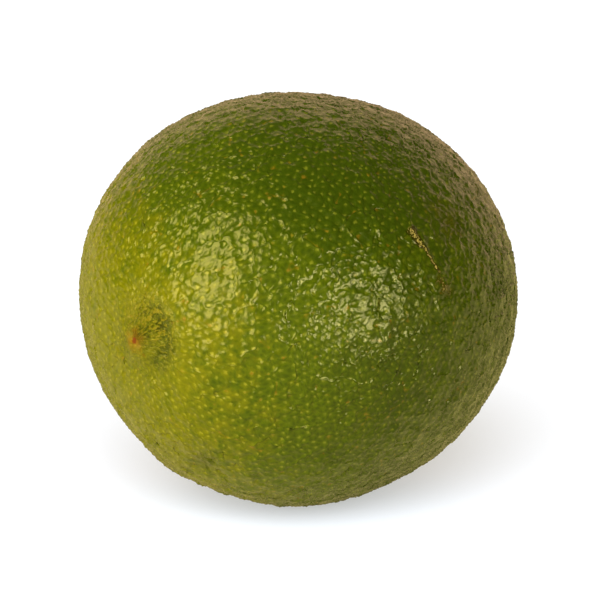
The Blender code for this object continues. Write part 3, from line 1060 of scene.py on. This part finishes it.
# Each soft box: its name, where it hangs, its width and height in metres, its watts and its tint.
THROWN = (
    ("key", KEY_TOWARDS, 0.54, 0.80, 8.2, WARM),
    ("fill", FILL_TOWARDS, 0.30, 0.30, 2.2, WARM_PALE),
    ("soft", SOFT_TOWARDS, 0.9, 0.5, 3.2, WARM),
    ("back", BACK_TOWARDS, 0.9, 0.9, 2.2, WARM_PALE),
)
MIRRORED = (
    ("key_sheen", KEY_TOWARDS, 0.48, 1.04, 8.4, TAN),
    ("fill_sheen", FILL_TOWARDS, 0.23, 0.50, 3.8, WARM_PALE),
    ("pane_sheen", PANE_TOWARDS, 0.05, 0.40, 0.9, WARM_PALE),
    ("far_pane_sheen", FAR_PANE_TOWARDS, 0.04, 0.25, 0.4, WARM_PALE),
)


def only(*pieces):
    """A collection that names the pieces that a lamp may light."""
    collection = bpy.data.collections.new("lit_" + pieces[0].name)
    for piece in pieces:
        collection.objects.link(piece)
    return collection


def hang(data, towards, distance, power, tint, lit):
    """Hangs a lamp that faces the fruit, and lets it light the named pieces only."""
    data.energy = power
    data.color = tint
    lamp = bpy.data.objects.new(data.name, data)
    bpy.context.scene.collection.objects.link(lamp)
    lamp.location = Vector((0, 0, AXIS_HEIGHT)) + towards.normalized() * distance
    lamp.rotation_euler = towards.to_track_quat("Z", "Y").to_euler()
    lamp.visible_camera = False
    lamp.light_linking.receiver_collection = lit
    return lamp


def box(name, width, height):
    """A rectangular soft box, width by height in metres."""
    data = bpy.data.lights.new(name, "AREA")
    data.shape = "RECTANGLE"
    data.size, data.size_y = width, height
    return data


def throw(name, towards, width, height, power, tint, lit):
    """A soft box that lights the pieces and keeps its mirror image off their gloss."""
    hang(box(name, width, height), towards, LAMP_DISTANCE, power, tint, lit).visible_glossy = False


def mirror(name, towards, width, height, power, tint, lit):
    """A soft box that shows in the gloss alone."""
    hang(box(name, width, height), towards, SHEEN_DISTANCE, power, tint, lit).visible_diffuse = False


def add_sky(name, towards, angle, strength, tint, lit):
    """A round, even, far-off light that fills a wide angle of the sky."""
    data = bpy.data.lights.new(name, "SUN")
    data.angle = angle
    hang(data, towards, LAMP_DISTANCE, strength, tint, lit)


fruit_alone = only(peel, button)
for lamp in THROWN:
    throw(*lamp, fruit_alone)
for lamp in MIRRORED:
    mirror(*lamp, fruit_alone)
add_sky("sky", SKY_TOWARDS, SKY_ANGLE, SKY_STRENGTH, COOL, only(floor))

# %% [markdown]
# The room
#
# The room is dim on the camera's side and brighter and tan behind the fruit, which is what the wax
# mirrors along the fruit's rims. Seen directly the room is white, so that no view of the fruit ends in
# a dark backdrop.

# %% The room
ROOM_NEAR = (0.13, 0.12, 0.01, 1.0)
ROOM_FAR = (1.12, 0.72, 0.39, 1.0)
ROOM_WHITE = (1.0, 1.0, 1.0, 1.0)
ROOM_FROM, ROOM_TO = 0.27, 0.85
ROOM_TURN = VIEW_TURN - math.radians(4)
ROOM_RISE = VIEW_RISE - math.radians(8)


def light_room():
    """White to the camera. To the rest, dim towards the camera's side and tan behind the fruit.

    The share of tan is an S-shaped ramp of the ray's direction along a line that runs away from the
    camera, turned a little upwards and to the right of the line of sight.
    """
    world = bpy.data.worlds.new("room")
    world.use_nodes = True
    tree = world.node_tree
    way = tree.nodes.new("ShaderNodeTexCoord")
    along = tree.nodes.new("ShaderNodeVectorMath")
    along.operation = "DOT_PRODUCT"
    along.inputs[1].default_value = -direction(ROOM_TURN, ROOM_RISE)
    behind = tree.nodes.new("ShaderNodeMapRange")
    behind.interpolation_type = "SMOOTHSTEP"
    behind.inputs["From Min"].default_value = ROOM_FROM
    behind.inputs["From Max"].default_value = ROOM_TO
    walls = tree.nodes.new("ShaderNodeMix")
    walls.data_type = "RGBA"
    walls.inputs[6].default_value = ROOM_NEAR
    walls.inputs[7].default_value = ROOM_FAR
    seen = tree.nodes.new("ShaderNodeLightPath")
    choose = tree.nodes.new("ShaderNodeMix")
    choose.data_type = "RGBA"
    choose.inputs[7].default_value = ROOM_WHITE
    tree.links.new(way.outputs["Generated"], along.inputs[0])
    tree.links.new(along.outputs["Value"], behind.inputs["Value"])
    tree.links.new(behind.outputs[0], walls.inputs[0])
    tree.links.new(seen.outputs["Is Camera Ray"], choose.inputs[0])
    tree.links.new(walls.outputs[2], choose.inputs[6])
    tree.links.new(choose.outputs[2], tree.nodes["Background"].inputs["Color"])
    bpy.context.scene.world = world


light_room()
bpy.context.scene.view_settings.view_transform = "Standard"
print("room lit")
